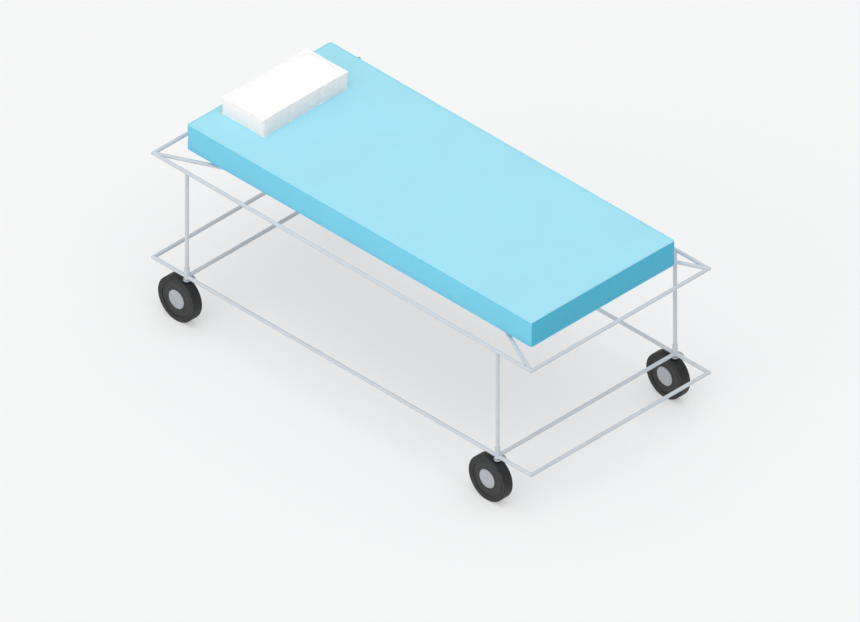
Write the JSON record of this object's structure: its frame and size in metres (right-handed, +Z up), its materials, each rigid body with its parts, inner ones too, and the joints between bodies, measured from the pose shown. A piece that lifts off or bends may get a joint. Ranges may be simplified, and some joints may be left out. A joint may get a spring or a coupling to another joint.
{
  "type": "stretcher trolley",
  "caption": "Hospital stretcher trolley: thin tube frame on two levels, foam mattress and pillow, and braked single-arm swivel castors.",
  "frame": {"origin": "on the floor, under the middle of the tube frame", "axes": "+X to the foot end, +Y to the patient's left, +Z up; the pillow is at the -X end"},
  "size_m": [2.101, 1.0492, 0.934],
  "materials": {
    "frame_paint": "satin",
    "castor_steel": "satin",
    "bright_steel": "brushed",
    "bush_plastic": "matte",
    "liner_plastic": "moulded",
    "platform_board": "laminated",
    "grip_tape": "hook pile",
    "mattress_fabric": "coated, wipe-clean",
    "foam": "open cell",
    "pillow_cotton": "woven",
    "pillow_fibre": "fibre",
    "wheel_plastic": "moulded",
    "cap_plastic": "satin",
    "tyre_rubber": "matte"
  },
  "bodies": {
    "frame": {"upper_rail_right": "frame_paint", "upper_rail_left": "frame_paint", "upper_end_rail_head": "frame_paint", "upper_end_rail_foot": "frame_paint", "upper_diagonal_through": "frame_paint", "upper_diagonal_halves": "frame_paint", "leg_head_right": "frame_paint", "leg_head_left": "frame_paint", "leg_foot_right": "frame_paint", "leg_foot_left": "frame_paint", "lower_rail_right": "frame_paint", "lower_rail_left": "frame_paint", "lower_end_rail_head": "frame_paint", "lower_end_rail_foot": "frame_paint", "lower_cross_tube_head": "frame_paint", "lower_cross_tube_foot": "frame_paint", "castor_sockets": "frame_paint", "swivel_bushes": "bush_plastic", "drip_pole_socket": "frame_paint", "drip_pole_liner": "liner_plastic", "mattress_platform": "platform_board", "platform_saddles": "bright_steel", "platform_screws": "bright_steel", "mattress_grip_strips": "grip_tape"},
    "mattress": {"mattress_cover": "mattress_fabric", "mattress_foam_core": "foam"},
    "pillow": {"pillow_case": "pillow_cotton", "pillow_filling": "pillow_fibre"},
    "castor_head_right_swivel": {"castor_head_right_fork": "castor_steel", "castor_head_right_stem": "castor_steel", "castor_head_right_axle_set": "bright_steel"},
    "castor_head_right_wheel": {"castor_head_right_rim": "wheel_plastic", "castor_head_right_tyre": "tyre_rubber", "castor_head_right_bearings": "bright_steel", "castor_head_right_hub_cap": "cap_plastic"},
    "castor_head_right_brake": {"castor_head_right_brake_pedal": "castor_steel"},
    "castor_head_left_swivel": {"castor_head_left_fork": "castor_steel", "castor_head_left_stem": "castor_steel", "castor_head_left_axle_set": "bright_steel"},
    "castor_head_left_wheel": {"castor_head_left_rim": "wheel_plastic", "castor_head_left_tyre": "tyre_rubber", "castor_head_left_bearings": "bright_steel", "castor_head_left_hub_cap": "cap_plastic"},
    "castor_head_left_brake": {"castor_head_left_brake_pedal": "castor_steel"},
    "castor_foot_right_swivel": {"castor_foot_right_fork": "castor_steel", "castor_foot_right_stem": "castor_steel", "castor_foot_right_axle_set": "bright_steel"},
    "castor_foot_right_wheel": {"castor_foot_right_rim": "wheel_plastic", "castor_foot_right_tyre": "tyre_rubber", "castor_foot_right_bearings": "bright_steel", "castor_foot_right_hub_cap": "cap_plastic"},
    "castor_foot_right_brake": {"castor_foot_right_brake_pedal": "castor_steel"},
    "castor_foot_left_swivel": {"castor_foot_left_fork": "castor_steel", "castor_foot_left_stem": "castor_steel", "castor_foot_left_axle_set": "bright_steel"},
    "castor_foot_left_wheel": {"castor_foot_left_rim": "wheel_plastic", "castor_foot_left_tyre": "tyre_rubber", "castor_foot_left_bearings": "bright_steel", "castor_foot_left_hub_cap": "cap_plastic"},
    "castor_foot_left_brake": {"castor_foot_left_brake_pedal": "castor_steel"}
  },
  "joints": [
    {"name": "mattress_lift", "type": "slide", "parent": "frame", "child": "mattress", "axis": [0, 0, 1], "range_m": [0, 0.25]},
    {"name": "pillow_lift", "type": "slide", "parent": "mattress", "child": "pillow", "axis": [0, 0, 1], "range_m": [0, 0.2]},
    {"name": "castor_head_right_swivels", "type": "hinge", "parent": "frame", "child": "castor_head_right_swivel", "pos_m": [-0.8575, -0.49, 0.2262], "axis": [0, 0, 1], "continuous": true},
    {"name": "castor_head_right_rolls", "type": "hinge", "parent": "castor_head_right_swivel", "child": "castor_head_right_wheel", "pos_m": [-0.8955, -0.49, 0.1], "axis": [0, 1, 0], "continuous": true},
    {"name": "castor_head_right_brake_presses", "type": "hinge", "parent": "castor_head_right_swivel", "child": "castor_head_right_brake", "pos_m": [-0.8735, -0.4525, 0.16], "axis": [-1, 0, 0], "range_deg": [0, 50]},
    {"name": "castor_head_left_swivels", "type": "hinge", "parent": "frame", "child": "castor_head_left_swivel", "pos_m": [-0.8575, 0.49, 0.2262], "axis": [0, 0, 1], "continuous": true},
    {"name": "castor_head_left_rolls", "type": "hinge", "parent": "castor_head_left_swivel", "child": "castor_head_left_wheel", "pos_m": [-0.8955, 0.49, 0.1], "axis": [0, 1, 0], "continuous": true},
    {"name": "castor_head_left_brake_presses", "type": "hinge", "parent": "castor_head_left_swivel", "child": "castor_head_left_brake", "pos_m": [-0.8735, 0.5275, 0.16], "axis": [-1, 0, 0], "range_deg": [0, 50]},
    {"name": "castor_foot_right_swivels", "type": "hinge", "parent": "frame", "child": "castor_foot_right_swivel", "pos_m": [0.8575, -0.49, 0.2262], "axis": [0, 0, 1], "continuous": true},
    {"name": "castor_foot_right_rolls", "type": "hinge", "parent": "castor_foot_right_swivel", "child": "castor_foot_right_wheel", "pos_m": [0.8195, -0.49, 0.1], "axis": [0, 1, 0], "continuous": true},
    {"name": "castor_foot_right_brake_presses", "type": "hinge", "parent": "castor_foot_right_swivel", "child": "castor_foot_right_brake", "pos_m": [0.8415, -0.4525, 0.16], "axis": [-1, 0, 0], "range_deg": [0, 50]},
    {"name": "castor_foot_left_swivels", "type": "hinge", "parent": "frame", "child": "castor_foot_left_swivel", "pos_m": [0.8575, 0.49, 0.2262], "axis": [0, 0, 1], "continuous": true},
    {"name": "castor_foot_left_rolls", "type": "hinge", "parent": "castor_foot_left_swivel", "child": "castor_foot_left_wheel", "pos_m": [0.8195, 0.49, 0.1], "axis": [0, 1, 0], "continuous": true},
    {"name": "castor_foot_left_brake_presses", "type": "hinge", "parent": "castor_foot_left_swivel", "child": "castor_foot_left_brake", "pos_m": [0.8415, 0.5275, 0.16], "axis": [-1, 0, 0], "range_deg": [0, 50]}
  ]
}
